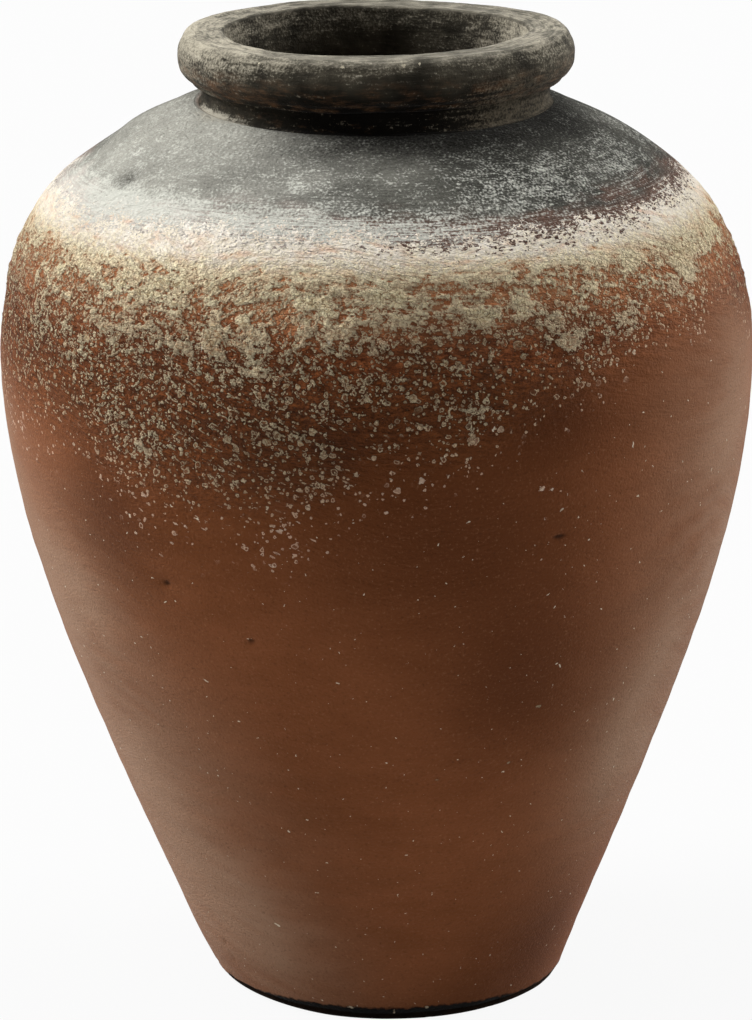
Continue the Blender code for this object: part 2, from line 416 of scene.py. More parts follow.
def runs_of(profile):
    """The smooth runs of a closed profile, cut at its corners."""
    ahead = np.roll(profile, -1, axis=0) - profile
    behind = profile - np.roll(profile, 1, axis=0)
    turn = np.arctan2(ahead[:, 1], ahead[:, 0]) - np.arctan2(behind[:, 1], behind[:, 0])
    turn = np.abs((turn + math.pi) % math.tau - math.pi)
    corners = np.nonzero(turn > CORNER)[0]
    runs = []
    for first, last in zip(corners, [*corners[1:], corners[0] + len(profile)]):
        runs.append(profile[np.arange(first, last + 1) % len(profile)])
    return runs


def reach(run):
    """How long a run is and how far out it lies, which is most for a section's outer side."""
    return np.linalg.norm(run[-1] - run[0]) * run[:, 0].mean()


def wall_line():
    """One smooth outer line for the whole wall, from foot to neck, as closely spaced points."""
    rising = []
    for name in WALLS:
        outside = max(runs_of(section_profile(name)), key=reach)
        rising += [point for point in outside if not rising or point[1] > rising[-1][1] + 2 * SEAM]
    return resampled(rising, LINE_SPACING)


def normals_of(line):
    """Unit normals of a run of profile points, to the right of its way."""
    way = np.gradient(line, axis=0)
    normals = np.stack([way[:, 1], -way[:, 0]], axis=1)
    return normals / np.linalg.norm(normals, axis=1)[:, None]


class Outline:
    """A section's closed outline. A row is a point, its normal, its way along, its skin and its side."""

    def __init__(self, start=0.0):
        self.rows = []
        self.creases = []
        self.length = start

    def add(self, line, skin, inside):
        """Adds a run. skin is how much relief the run takes, and inside is 1 on the jar's inner side."""
        steps = np.linalg.norm(np.diff(line, axis=0), axis=1)
        along = self.length + np.concatenate([[0], np.cumsum(steps)])
        self.length = along[-1]
        sides = np.tile((skin, inside), (len(line), 1))
        rows = np.column_stack([line, normals_of(line), along, sides])
        if self.rows:
            self.creases.append(len(self.rows) - 1)
            rows = rows[1:]
        self.rows += list(rows)

    def close(self):
        """Drops the last point, which is the first one again."""
        self.rows.pop()
        self.creases.append(0)


def wall_outline(name, line, fine, coarse):
    """A wall section's outline, with its outer run taken from the one line of the whole wall."""
    runs = runs_of(section_profile(name))
    widest = max(range(len(runs)), key=lambda i: reach(runs[i]))
    runs = runs[widest:] + runs[:widest]
    low, high = runs[0][0, 1] - SEAM / 2, runs[0][:, 1].max() + SEAM / 2
    if name == WALLS[-1]:
        high = line[-1, 1]
    stretch = line[(line[:, 1] > low) & (line[:, 1] < high)]
    outer = resampled(stretch[:: max(1, len(stretch) // 60)], fine)
    ends = [[np.interp(z, line[:, 1], line[:, 0]), z] for z in (low, high)]
    outer = np.vstack([ends[0], outer[1:-1], ends[1]])
    outline = Outline(np.interp(low, line[:, 1], LINE_SPACING * np.arange(len(line))))
    outline.add(outer, 1, 0)
    rest = [run.copy() for run in runs[1:]]
    if name == WALLS[-1]:
        rest.insert(0, np.array([runs[0][-2], runs[0][-1]]))
    rest[0][0] = outer[-1]
    rest[-1][-1] = outer[0]
    inner = max(range(len(rest)), key=lambda i: np.linalg.norm(rest[i][-1] - rest[i][0]))
    for i, run in enumerate(rest):
        outline.add(resampled(run, coarse), float(i == inner), 1)
    outline.close()
    return outline


def plain_outline(name, fine, coarse, outside):
    """A section's outline from its own runs. outside says, run by run, if it is on the jar's outer side."""
    outline = Outline()
    profile = section_profile(name)
    profile[profile[:, 1] < profile[:, 1].min() + SEAM, 1] -= SEAM / 2
    for run in runs_of(profile):
        shown = outside(run)
        outline.add(resampled(run, fine if shown else coarse), float(shown), float(not shown))
    outline.close()
    return outline


# Meshes of the sections


def turned_mesh(name, outline, columns, relief):
    """A dense ring of the outline. relief gives heights along the normals in mm, and named fields."""
    rows = np.array(outline.rows)
    profile, normals = rows[:, :2], rows[:, 2:4]
    along, skin, inside = np.repeat(rows[:, 4:], columns, axis=0).T
    turn = np.arange(columns) * math.tau / columns
    round_x, round_y = np.sin(turn), -np.cos(turn)

    def swept(values):
        out, up = values.T
        level = np.outer(out, round_x).ravel(), np.outer(out, round_y).ravel()
        return np.stack([*level, np.repeat(up, columns)], axis=1)

    rest = swept(profile)
    site = Site(rest, along)
    heights, fields = relief(site, inside)
    shaped = as_made(rest + swept(normals) * (heights * skin * MM)[:, None])
    rings = len(profile)
    here = np.arange(rings * columns).reshape(rings, columns)
    beside = np.roll(here, -1, axis=1)
    quads = np.stack([here, beside, np.roll(beside, -1, axis=0), np.roll(here, -1, axis=0)], axis=2)
    mesh = bpy.data.meshes.new(name)
    mesh.from_pydata(shaped.tolist(), [], quads.reshape(-1, 4).tolist())
    mesh.shade_smooth()
    crease_rings = np.zeros(rings, bool)
    crease_rings[outline.creases] = True
    ends = np.zeros(len(mesh.edges) * 2, np.int32)
    mesh.edges.foreach_get("vertices", ends)
    ring_of_end = ends.reshape(-1, 2) // columns
    sharp = (ring_of_end[:, 0] == ring_of_end[:, 1]) & crease_rings[ring_of_end[:, 0]]
    mesh.attributes.new("sharp_edge", "BOOLEAN", "EDGE").data.foreach_set("value", sharp)
    for key, values in (("place", rest), ("drag", site.drag), ("unrolled", site.unrolled)):
        attribute = mesh.attributes.new(key, "FLOAT_VECTOR", "POINT")
        attribute.data.foreach_set("vector", values.astype(np.float32).ravel())
    fields["inside"] = inside
    for key, values in fields.items():
        mesh.attributes.new(key, "FLOAT", "POINT").data.foreach_set("value", values.astype(np.float32))
    return mesh


def as_made(points):
    """The points with the lean, drift and tilt that the jar got from the hand that made it."""
    x, y, z = points.T
    rim = smooth(z, *RIM_SPAN)
    x = x + SHOULDER_DRIFT * smooth(z, *SHOULDER_SPAN) * (1 - smooth(z, *NECK_SPAN)) + RIM_DRIFT * rim
    tilt = smooth(z, *TILT_SPAN) * (1 - smooth(z, *TILT_END))
    z = z - NECK_TILT * tilt * x / TILT_ARM
    z = z - FRONT_SINK * smooth(z, *SINK_SPAN) * smooth(-y, -0.02, 0.10)
    sagging = (SAG_WAY[0] * x + SAG_WAY[1] * y) / np.hypot(x, y).clip(MM)
    z = z - RIM_SAG * rim * smooth(sagging, 0.3, 0.95)
    z = z + FOOT_WEAR * smooth(-x, 0.015, 0.085) * (1 - smooth(z, 0, LEAN_EASE))
    ease = smooth(z, 0, LEAN_EASE)
    return np.stack([x - z * math.tan(LEAN), y, z + x * math.sin(LEAN) * ease], axis=1)


# Relief. Its heights are in millimetres.


def inner_relief(site):
    """The raw inner side: a spiral of finger marks from throwing, which swells and fades, and small lumps."""
    spiral = np.sin(math.tau * (site.height / THROWING_PITCH + site.azimuth / 360))
    spiral = spiral * (0.6 + 0.5 * noise(site.points, 0.09, 31)) + 0.4 * noise(site.flattened(5), 0.02, 32)
    return 0.45 * spiral + 0.3 * noise(site.points, 0.035, 33)


def slip_cover(site):
    """The share of the wall that slip and crust cover, 0 to 1 and a little beyond."""
    floor = line_at(site.azimuth, CRUST_LINE) + 7 * MM * noise(site.points, 0.03, 3)
    share = np.clip((site.height - floor) / (BAND_FOOT - floor), -1, 1.2)
    cover = 0.40 * share + 0.28 * share * np.abs(share)
    cover += 0.50 * smooth(site.height, BAND_FOOT - 10 * MM, BAND_FOOT + 9 * MM)
    cover += 0.12 * noise(site.points, 0.045, 8)
    return cover + 0.35 * patches(site, CRUST_PATCHES) - 0.24 * patches(site, CRUST_GAPS)


def dabs(site, cover):
    """Dabs and open rings of slip on the crust, as a cover that is above 0 on them."""
    wobble = np.stack([noise(site.points, 0.005, seed) for seed in (81, 82, 83)], axis=1)
    distance, chance = spots(site.flattened(1.15) + 1.3 * MM * wobble, 0.0068, 4)
    radius = (1.0 + 2.4 * chance[:, 0] ** 2) * MM
    dab = (radius - distance) / (1.5 * MM)
    ring = 0.6 - np.abs(distance - radius) / (0.9 * MM)
    dab = np.where(chance[:, 2] > 0.65, ring, dab)
    return np.where(chance[:, 1] < 0.7 * smooth(cover, -0.1, 0.5), np.clip(dab, -2, 0.25), -2.0)


def slip_film(site, cover, wrinkle):
    """The film of slip with its tongues, dabs and drops, above 0 where it lies."""
    tongue = near(site, *TONGUES) * noise(site.streaked(1.0, 0.35), 0.0085, 24)
    lumps = noise(site.points, 0.008, 5) + noise(site.points, 0.004, 6) / 1.7
    slip = 0.5 * lumps + 0.5 * wrinkle + 1.3 * tongue + 2.0 * (cover - 0.5)
    slip = np.maximum(slip, dabs(site, cover))
    for azimuth, height, size in DROPS:
        slip = np.maximum(slip, 2.2 * near(site, azimuth, height, size, size) - 1.0)
    return slip


def crust_share(site):
    """How much of a crust the slip is: most low down, little in the band, none under the dark coat."""
    line = line_at(site.azimuth, CRUST_LINE)
    crust = smooth(site.height, line - 0.030, line + 0.030)
    crust *= 1 - 0.86 * smooth(site.height, BAND_FOOT - 12 * MM, BAND_FOOT + 8 * MM)
    return crust * (1 - smooth(site.height, DARK_EDGE - 4 * MM, DARK_EDGE + 10 * MM))


def wall_relief(site, inside):
    """Relief and coats of the wall."""
    points, height = site.points, site.height
    cover = slip_cover(site)
    wrinkle = noise(site.drag, 0.011, 14) + 0.6 * noise(site.drag, 0.0055, 15)
    slip = slip_film(site, cover, wrinkle)
    crust = crust_share(site)
    heights = 0.45 * noise(points, 0.075, 1) + 0.20 * noise(site.flattened(4.5), 0.05, 2)
    heights += 0.10 * noise(site.drag, 0.030, 16)
    heights += crust * (0.42 * wrinkle + 0.16 * noise(points, 0.0036, 18))
    plate = smooth(slip, -0.25, 0.35)
    heights += 0.55 * plate * (1 - 0.75 * smooth(height, BAND_FOOT - 6 * MM, DARK_EDGE))
    heights += NECK_FILLET * smooth(height, *FILLET_SPAN)
    for *place, swell in SWELLS:
        heights += swell * near(site, *place)
    # Each hollow is also darkened with painted shade, as far as it reaches
    hollow_shade = np.zeros(len(points))
    for *place, depth in HOLLOWS:
        spot = near(site, *place)
        heights -= depth * spot
        hollow_shade = np.maximum(hollow_shade, spot)
    foot = 1 - smooth(height, *FOOT_SPAN)
    nick = smooth(noise(points, 0.008, 21), 0.3, 0.8)
    heights += 0.5 * foot * (noise(points, 0.017, 20) - nick)

    dark_line = line_at(site.azimuth, DARK_LINE)
    border = height - dark_line + 5 * MM * noise(site.drag, 0.03, 25)
    rim_shadow = smooth(height + 2 * MM * noise(points, 0.02, 26), *RIM_SHADOW_SPAN)
    # The black band of soot and painted contact shadow at the foot rises higher at the front
    soot_and_shadow_top = SOOT_AND_SHADOW_HEIGHT + SOOT_AND_SHADOW_RISE * facing(site, 0, 0.6, 1)
    return np.where(inside > 0, inner_relief(site), heights), {
        "slip": slip,
        "crust": crust,
        "rust": smooth(height, *RUST_SPAN),
        "wash": smooth(height + 5 * MM * noise(site.drag, 0.03, 27), *WASH_SPAN),
        "dots": smooth(cover, -0.34, 0.60),
        "sloping": facing(site, -48, 0.45, 0.95),
        # Dark stains, and painted shade on the front where little light falls
        "stain_and_shade": patches(site, STAINS_AND_SHADE),
        # Paler dust, and painted sheen on the sides
        "pale": dust_and_sheen_on_sides(site),
        "dark": (height - dark_line) / (6.5 * MM) + 0.7 * noise(site.flattened(1.2), 0.02, 12),
        "purple": 1 - smooth(border, 7 * MM, 17 * MM),
        "veil": veil_on_shoulder(site),
        "bloom": patches(site, VEIL_PATCHES),
        # Painted shadow of the rim on the shoulder, at the front and right
        "rim_shadow": facing(site, 34, 0.22, 0.85) * rim_shadow,
        "scrape": scraped_crease(site),
        "hollow_shade": hollow_shade,
        "foot": (soot_and_shadow_top - height) / (2 * MM),
    }


def veil_on_shoulder(site):
    """How pale the dark coat has weathered: most on the left, with broad soft clouds elsewhere."""
    sweep = (0.5 + 0.5 * np.cos(np.radians(site.azimuth - VEIL_AZIMUTH))) ** 4
    clouds = 0.16 * noise(site.points, 0.055, 22) + 0.12 * noise(site.flattened(1.6), 0.022, 23)
    return np.clip(0.10 + 0.72 * sweep + clouds, 0, 1)


def dust_and_sheen_on_sides(site):
    """How pale the body is: dust, and painted sheen on its sides, in soft ragged smears."""
    smears = noise(site.points, 0.070, 28) + 0.4 * noise(site.drag, 0.022, 29)
    return np.clip(patches(site, DUST_AND_SHEEN_SIDES), 0, 1) * smooth(smears, -2.0, 0.6)


def scraped_crease(site):
    """Pale scraped clay in the crease between shoulder and neck, on the left."""
    return 1.2 * near(site, -62, 462.5, 26, 2.8)


def rim_relief(site, inside):
    """Relief and wear of the neck and the rolled rim: hand-smoothed, with bristle lines and small chips."""
    points, height, radius = site.points, site.height, site.radius
    heights = 0.55 * noise(points, 0.040, 41) + 0.08 * noise(points, 0.004, 44)
    heights += 0.22 * noise(site.streaked(3.0, 1.0), 0.010, 42)
    heights += 0.12 * noise(site.streaked(4.0, 1.0), 0.005, 43)
    swing = 1 + 0.4 * noise(points, 0.08, 49)
    for out, up, swell, spread in ROLL_SHAPE:
        off = np.hypot(radius / MM - out, height / MM - up) / spread
        heights += swell * swing * np.exp(-(off**2))
    chip = patches(site, CHIPS) * (radius > ROLL_SIDE)
    bite = smooth(noise(points, 0.0065, 45), 0.85, 1.0) * smooth(height, 0.494, 0.498)
    chip = np.maximum(bite, chip)
    heights -= 0.6 * chip + 1.2 * near(site, -88, 463, 45, 2.5)

    edge = np.exp(-(((radius - 0.0955) / (4.0 * MM)) ** 2) - ((height - 0.4960) / (5.0 * MM)) ** 2)
    swayed = height + 2.5 * MM * noise(site.flattened(2), 0.02, 48)
    # Soot low on the roll and neck, with painted shade under the roll, darkest at the front and back, away
    # from the lit sides
    away_from_lit_sides = 1 - 0.75 * facing(site, -88.8, 0.35, 0.95) - 0.60 * facing(site, 83.1, 0.3, 0.95)
    # Dust, and painted light on the roll's left and right sides, where the lamps fall
    lit_sides = facing(site, -91.7, 0.1, 0.95) + 0.9 * facing(site, 97.4, 0.2, 0.95)
    # Paler clay on the inner wall, with painted light on the right inner wall, where the lamp falls
    worn = np.maximum(near(site, 85, 485, 75, 40), 0.36 * smooth(height, 0.476, 0.494))
    return heights, {
        "crest": smooth(height, *CREST_SPAN),
        "edge": edge * (0.8 + 0.5 * noise(points, 0.018, 46)),
        "chip": chip,
        "soot_and_shade": (radius > SOOT_AND_SHADE_SIDE) * (1 - smooth(swayed, *SOOT_AND_SHADE_SPAN)) * away_from_lit_sides,
        "neck": 1 - smooth(height, *COLLAR_SPAN),
        "mouth_pale_and_lit": (radius < MOUTH_SIDE) * worn,
        "low": (radius > ROLL_SIDE) * (1 - smooth(swayed, *BROWN_SPAN)) * smooth(height, *ROLL_FOOT_SPAN),
        "dust_and_light": (radius > CREST_SIDE) * smooth(height, *DUST_AND_LIGHT_SPAN) * lit_sides,
        "scrape": scraped_crease(site),
        "veil": 0.5 + 0.5 * np.cos(np.radians(site.azimuth - VEIL_AZIMUTH)),
        # Painted light on the right side of the neck
        "lit_flank": facing(site, 74.5, 0.45, 0.95),
    }


def coil_relief(site, inside):
    """A coil that was smeared on by thumb."""
    return 0.5 * noise(site.flattened(0.5), 0.018, 51) + 0.25 * noise(site.points, 0.007, 52), {}


def base_relief(site, inside):
    """The base: a rough sawn-off ring that has stood on the ground."""
    nick = smooth(noise(site.points, 0.006, 62), 0.3, 0.8)
    return 0.35 * noise(site.points, 0.014, 61) - 0.5 * nick, {}


# Materials


class Value:
    """What a node gives: a number, a colour or a vector. It takes part in sums as a plain number does."""

    def __init__(self, graph, socket):
        self.graph = graph
        self.socket = socket

    def __add__(self, other):
        return self.graph.math("ADD", self, other)

    def __sub__(self, other):
        return self.graph.math("SUBTRACT", self, other)

    def __rsub__(self, other):
        return self.graph.math("SUBTRACT", other, self)

    def __mul__(self, other):
        return self.graph.math("MULTIPLY", self, other)

    def __abs__(self):
        return self.graph.math("ABSOLUTE", self)

    __radd__ = __add__
    __rmul__ = __mul__


class Graph:
    """A node tree in the making. Each call adds a node and returns its output."""

    def __init__(self, tree):
        self.tree = tree

    def node(self, kind, inputs, output=0, **settings):
        made = self.tree.nodes.new(kind)
        for key, value in settings.items():
            setattr(made, key, value)
        for key, value in inputs.items():
            if isinstance(value, Value):
                self.tree.links.new(value.socket, made.inputs[key])
            else:
                made.inputs[key].default_value = value
        return Value(self, made.outputs[output])

    def math(self, operation, a, b=0.0):
        return self.node("ShaderNodeMath", {0: a, 1: b}, operation=operation)

    def highest(self, first, *others):
        for other in others:
            first = self.math("MAXIMUM", first, other)
        return first


def linear(colour):
    """A colour as linear light, from 0 to 255 numbers. A node's colour is that already."""
    if isinstance(colour, Value):
        return colour
    parts = [part / 255 for part in colour]
    return (*(part / 12.92 if part <= 0.04045 else ((part + 0.055) / 1.055) ** 2.4 for part in parts), 1.0)


class Finish(Graph):
    """One material in the making. Sizes are in metres."""

    def __init__(self, name):
        self.material = bpy.data.materials.new(name)
        self.material.use_nodes = True
        super().__init__(self.material.node_tree)
        self.place = self.field("place", "Vector")
        self.drag = self.field("drag", "Vector")
        self.unrolled = self.field("unrolled", "Vector")

    def field(self, name, output="Fac"):
        """A field that the relief left on the mesh."""
        return self.node("ShaderNodeAttribute", {}, output, attribute_name=name)

    def step(self, value, low=-1, high=1, start=0.0, end=1.0):
        """Eases from start at low to end at high."""
        inputs = {"Value": value, "From Min": low, "From Max": high, "To Min": start, "To Max": end}
        return self.node("ShaderNodeMapRange", inputs, interpolation_type="SMOOTHSTEP")

    def mix(self, share, a, b):
        """Colour a, with a share of colour b over it."""
        return self.node("ShaderNodeMix", {0: share, 6: linear(a), 7: linear(b)}, 2, data_type="RGBA")

    def pressed(self, vector, up, around=1.0):
        """Coordinates stretched upwards and round the jar, for texture in level streaks."""
        return self.node("ShaderNodeVectorMath", {0: vector, 1: (around, around, up)}, operation="MULTIPLY")

    def wobbled(self, vector, size, amount):
        """Coordinates pushed about, so that rounds on them come out ragged."""
        inputs = {"Vector": vector, "Scale": 1.6 / size, "Detail": 2.0}
        push = self.node("ShaderNodeTexNoise", inputs, "Color")
        inputs = {0: push, 1: (size * amount,) * 3, 2: vector}
        return self.node("ShaderNodeVectorMath", inputs, operation="MULTIPLY_ADD")

    def grain(self, size, detail=2.0, vector=None, roughness=0.55, distortion=0.0):
        """Noise about 0, mostly from -1 to 1, with lumps of a size."""
        inputs = {"Vector": vector or self.place, "Scale": 1 / size, "Detail": detail}
        inputs |= {"Roughness": roughness, "Distortion": distortion}
        raw = self.node("ShaderNodeTexNoise", inputs)
        return self.node("ShaderNodeMath", {0: raw, 1: 4.4, 2: -2.2}, operation="MULTIPLY_ADD")

    def cells(self, size, vector):
        """Scattered cells: the distance to the middle of each, and three chances that belong to it."""
        distance = self.node("ShaderNodeTexVoronoi", {"Vector": vector, "Scale": 1 / size})
        chances = self.tree.nodes.new("ShaderNodeSeparateColor")
        self.tree.links.new(distance.socket.node.outputs["Color"], chances.inputs[0])
        return distance, [Value(self, chance) for chance in chances.outputs]

    def seams(self, size, vector):
        """How far the nearest seam between scattered plates is, as a share of their size."""
        inputs = {"Vector": vector, "Scale": 1 / size}
        return self.node("ShaderNodeTexVoronoi", inputs, "Distance", feature="DISTANCE_TO_EDGE")

    def finish(self, colour, roughness, relief, sheen=0.0, specular=0.2):
        """Sets the shader. relief is a height in millimetres."""
        shader = self.tree.nodes["Principled BSDF"]
        bump = self.node("ShaderNodeBump", {"Height": relief * MM, "Distance": 1.0, "Strength": 1.0})
        for key, value in (("Base Color", colour), ("Roughness", roughness), ("Normal", bump)):
            self.tree.links.new(value.socket, shader.inputs[key])
        shader.inputs["Specular IOR Level"].default_value = specular
        shader.inputs["Sheen Weight"].default_value = sheen
        shader.inputs["Sheen Roughness"].default_value = 0.5
        return self.material


def raw_clay_colour(f):
    """Unwashed clay on the inside, with pale grog."""
    base = f.mix(f.step(f.grain(0.05)), (138, 92, 66), (112, 74, 54))
    grog = f.cells(0.0035, f.place)[0]
    return f.mix(f.step(grog, 0.22, 0.12, 0.0, 0.5), base, (170, 128, 98))


def clay_colour(f):
    """The fired body: brown to reddish, with darker stains and painted shade on the front, paler dust and
    painted sheen on the sides, brush streaks and fine sand.
    """
    tone = f.grain(0.12) + f.grain(0.03, vector=f.pressed(f.place, 2.5)) * 0.5
    base = f.mix(f.step(tone, -1.2, 1.2), (114, 65, 34), (134, 80, 48))
    base = f.mix(f.step(f.grain(0.075, vector=f.drag), 0.1, 1.3, 0.0, 0.5), base, (126, 75, 45))
    # Darker stains, and painted shade on the front where little light falls
    base = f.mix(f.field("stain_and_shade") * 0.75, base, (86, 46, 22))
    # Paler dust, and painted sheen on the sides where the light grazes the body
    base = f.mix(f.field("pale") * 0.80, base, (164, 132, 108))
    streak = f.grain(0.006, 3.0, f.pressed(f.drag, 2.0))
    base = f.mix(f.step(streak, 0.4, 1.6, 0.0, 0.28), base, (150, 106, 78))
    sand = f.grain(0.0014)
    base = f.mix(f.step(sand, 0.1, 1.4, 0.0, 0.42), base, (66, 37, 20))
    return f.mix(f.step(sand, -0.3, -1.5, 0.0, 0.26), base, (186, 142, 108))


def rusty(f, clay, crust, wash):
    """The clay between the flakes: tan in the band, rust-orange near it, dark brown lower down."""
    patch = f.step(f.grain(0.008, vector=f.drag))
    bright = f.mix(patch, (138, 70, 38), (204, 124, 78))
    deep = f.mix(patch, (112, 62, 31), (152, 88, 47))
    # The same stains and painted shade darken the deep clay of the crust
    deep = f.mix(f.field("stain_and_shade") * 0.34, deep, (66, 35, 17))
    rust = f.mix(f.field("rust"), deep, bright)
    tan = f.mix(f.step(f.grain(0.006, 3.0, f.drag)), (192, 118, 72), (224, 174, 128))
    rust = f.mix(wash * 0.85, rust, tan)
    share = crust * f.step(f.grain(0.02), -1.6, 0.4)
    return f.mix(f.highest(share, wash * 0.95), clay, rust)


def flake(f, depth, shown, thick):
    """A flake of slip with a raised rim, painted lighter as a highlight. depth is how far inside its edge a
    place is, in mm.

    Returns its cover, its rim, the painted shadow round it, and its whole body.
    """
    body = f.step(depth, -0.10, 0.35) * shown
    rim = f.step(abs(depth - 0.22), 0.36, 0.12) * shown
    shadow_ring = f.step(depth, -0.70, -0.10) * shown * (1.0 - body)
    return f.highest(body * thick, rim * 0.72), rim, shadow_ring, body


def dab_layer(f, size, density, vector):
    """Dabs of slip, more of them where density is higher, as flakes. Many are thin inside their rims."""
    distance, chance = f.cells(size, f.wobbled(vector, size, 0.75))
    radius = f.step(chance[0], 0.0, 1.0, 0.14, 0.46)
    depth = (radius - distance) * (size / MM)
    shown = f.step(density - chance[1], 0.0, 0.04)
    return flake(f, depth, shown, f.step(chance[2], 0.40, 1.00, 0.06, 0.72))


def specks(f, size, radius, share):
    """Small hard specks of slip: a share of the cells of a size has one."""
    distance, chance = f.cells(size, f.wobbled(f.place, size, 1.0))
    edge = f.step(chance[0], 0.0, 1.0, 0.4 * radius / size, radius / size)
    return f.step(edge - distance, -0.01, 0.02) * f.step(share - chance[1], -0.01, 0.01)


def slip_and_crust(f, colour, fine):
    """The cream slip of the band and the stucco-like crust under it. Returns colour, cover and relief."""
    crust, slip, dots, wash = (f.field(name) for name in ("crust", "slip", "dots", "wash"))
    wrinkle = f.grain(0.0075, 3.0, f.drag, 0.6)
    stucco = f.grain(0.0021, roughness=0.6)
    lower_down = f.step(f.field("rust"), 0.9, 0.1, 0.0, -0.45)
    ragged = slip + wrinkle * 0.45 + stucco * 0.55 + lower_down
    layers = [flake(f, ragged * 0.9, 1.0, f.step(wash, 0.0, 0.8, 0.50, 0.97))]
    layers += [dab_layer(f, size, dots * density, f.place) for size, density in DAB_LAYERS]
    layers.append(dab_layer(f, LARGE_DAB, dots * crust * 0.36, f.place))
    layers.append(dab_layer(f, DRAWN_DAB, dots * f.field("sloping") * 0.50, f.pressed(f.drag, 0.42)))
    cover, rim, shadow_ring, dome = (f.highest(*parts) for parts in zip(*layers))

    # Painted shade: the low places of the wrinkles, the grooves and the ring round each flake are darkened
    # towards a shadow colour
    groove_shade = f.step(abs(f.grain(0.0042, vector=f.pressed(f.drag, 1.7))), 0.30, 0.06)
    groove_shade = groove_shade * f.highest(crust, wash * 0.25)
    dry = crust * f.step(wash, 0.0, 0.8, 1.0, 0.50)
    shade = dry * f.step(wrinkle + stucco * 0.8, 0.2, -1.3)
    shadow = f.mix(wash, (56, 30, 15), (112, 62, 34))
    colour = rusty(f, colour, crust, wash)
    for depth in (shade * 0.54, groove_shade * 0.54, shadow_ring * dry * 0.58):
        colour = f.mix(depth, colour, shadow)

    cream = f.mix(f.step(f.grain(0.009)), (252, 246, 236), (237, 228, 212))
    crusted = f.mix(f.step(wrinkle + stucco * 1.4, -1.2, 1.2), (148, 120, 76), (248, 231, 186))
    cream = f.mix(crust, cream, crusted)
    # Painted highlight: the raised rims of the flakes are painted near white
    cream = f.mix(rim * f.step(crust, 0.0, 0.6, 0.25, 0.95), cream, (255, 242, 204))
    blush = f.step(f.grain(0.013, 2.5, f.drag) - slip * 0.55, -0.9, 0.7, 0.0, 0.66)
    cream = f.mix(blush * (1.0 - crust * 0.5), cream, (216, 160, 122))
    crack = f.step(abs(f.grain(0.003, vector=f.drag)), 0.16, 0.03)
    cream = f.mix(crack * f.step(crust, 0.0, 0.6, 0.12, 0.36), cream, (132, 98, 62))
    # Where the crust cracks into plates, a painted highlight runs beside each seam, and the cut along it is
    # painted darker as shadow
    seam = f.seams(PLATE, f.wobbled(f.pressed(f.place, 1.2), PLATE, 1.3))
    cut = crust * f.step(seam, 0.10, 0.03, 0.0, 0.48)
    cream = f.mix(crust * f.step(abs(seam - 0.17), 0.09, 0.01, 0.0, 0.70), cream, (255, 242, 200))
    cream = f.mix(cut, cream, (112, 76, 46))

    bumpy = crust * 0.80 + f.step(slip, -0.6, 0.4) * 0.18 + 0.04
    relief = (
        1.50 * wrinkle * bumpy
        + 0.82 * stucco * bumpy
        + 0.80 * dome * (crust * 0.8 + 0.2)
        + 0.22 * rim * (crust * 0.8 + 0.1)
        - 0.30 * groove_shade
        - (0.14 * crack + 0.35 * cut) * cover
        + 0.12 * f.grain(0.006, 3.0, f.drag)
        + 0.11 * fine
    )
    return f.mix(cover, colour, cream), cover, relief


def scattered_slip(f, colour, fine):
    """The last dabs and drops of slip, on the lower wall. Returns colour, cover and relief."""
    dabbed, rim, shadow_ring, dome = dab_layer(f, 0.0034, f.field("dots") * 0.5, f.place)
    drops = f.step(f.field("slip") + f.grain(0.0028) * 0.3, -0.1, 0.2)
    cover = f.highest(drops, dabbed)
    # Painted shadow round each dab, and a painted highlight on its rim
    colour = f.mix(shadow_ring * 0.5, colour, (60, 34, 20))
    colour = f.mix(cover, colour, f.mix(rim, (186, 166, 134), (236, 224, 196)))
    return colour, cover, 0.11 * fine + 0.10 * f.grain(0.005, 3.0, f.drag) + 0.40 * dome


